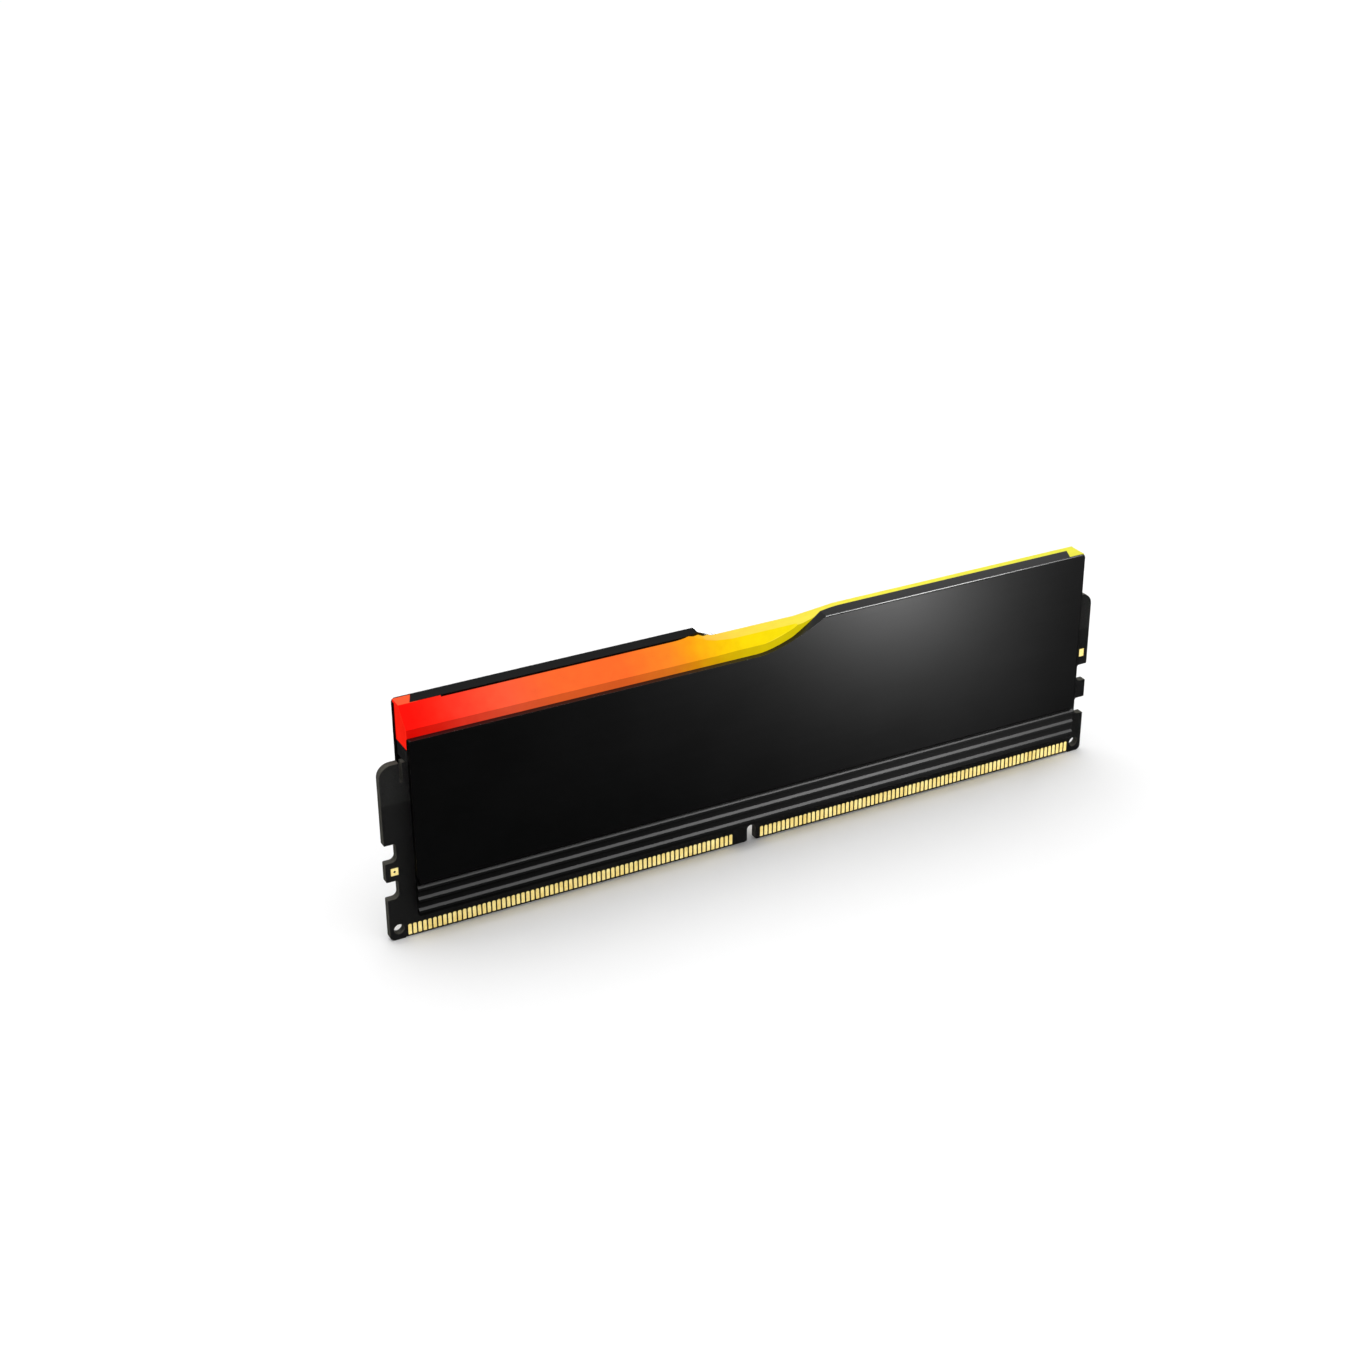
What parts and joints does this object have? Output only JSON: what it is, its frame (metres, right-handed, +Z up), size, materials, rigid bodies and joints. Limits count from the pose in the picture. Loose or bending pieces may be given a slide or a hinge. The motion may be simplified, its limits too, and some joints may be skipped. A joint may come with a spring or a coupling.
{
  "type": "ram module",
  "caption": "Desktop memory module: circuit board with gold edge contacts between two ribbed black heat spreaders, with a translucent light bar along the top.",
  "frame": {"origin": "middle of the circuit board's bottom (contact) edge, on the middle plane of the board", "axes": "+X along the module to the right as seen from the front, +Y from the front face to the rear face, +Z up, away from the contacts"},
  "size_m": [0.1334, 0.0068, 0.0405],
  "materials": {
    "board": "black solder mask over glass fibre, fine weave",
    "gold": "gold plated, satin",
    "chip": "black moulding compound",
    "ferrite": "grey pressed ferrite",
    "ceramic": "brown ceramic with tinned ends",
    "resistor": "black glaze with tinned ends",
    "thermal_pad": "grey filled silicone",
    "spreader": "black anodised aluminium, fine bead blast",
    "label": "plain silver film label",
    "diffuser": "frosted translucent acrylic, lit from inside",
    "carrier": "black moulded plastic",
    "tape": "double-sided foam tape",
    "light": "white package with clear window"
  },
  "bodies": {
    "root": {"pcb": "board", "front_contacts_left": "gold", "front_contacts_right": "gold", "rear_contacts_left": "gold", "rear_contacts_right": "gold", "test_pads": "gold", "power_chip": "chip", "spd_hub": "chip", "light_controller": "chip", "memory_chip_1": "chip", "memory_chip_2": "chip", "memory_chip_3": "chip", "memory_chip_4": "chip", "memory_chip_5": "chip", "memory_chip_6": "chip", "memory_chip_7": "chip", "memory_chip_8": "chip", "inductor_1": "ferrite", "inductor_2": "ferrite", "inductor_3": "ferrite", "power_capacitors": "ceramic", "decoupling_capacitors": "ceramic", "resistor_networks": "resistor", "front_thermal_pad_left": "thermal_pad", "front_thermal_pad_right": "thermal_pad", "power_thermal_pad": "thermal_pad", "rear_thermal_pad_left": "thermal_pad", "rear_thermal_pad_right": "thermal_pad", "front_heat_spreader": "spreader", "rear_heat_spreader": "spreader", "blank_label": "label", "light_bar": "diffuser", "light_bar_carrier": "carrier", "front_tape": "tape", "rear_tape": "tape", "light_01": "light", "light_02": "light", "light_03": "light", "light_04": "light", "light_05": "light", "light_06": "light", "light_07": "light", "light_08": "light", "light_09": "light", "light_10": "light"}
  },
  "joints": []
}
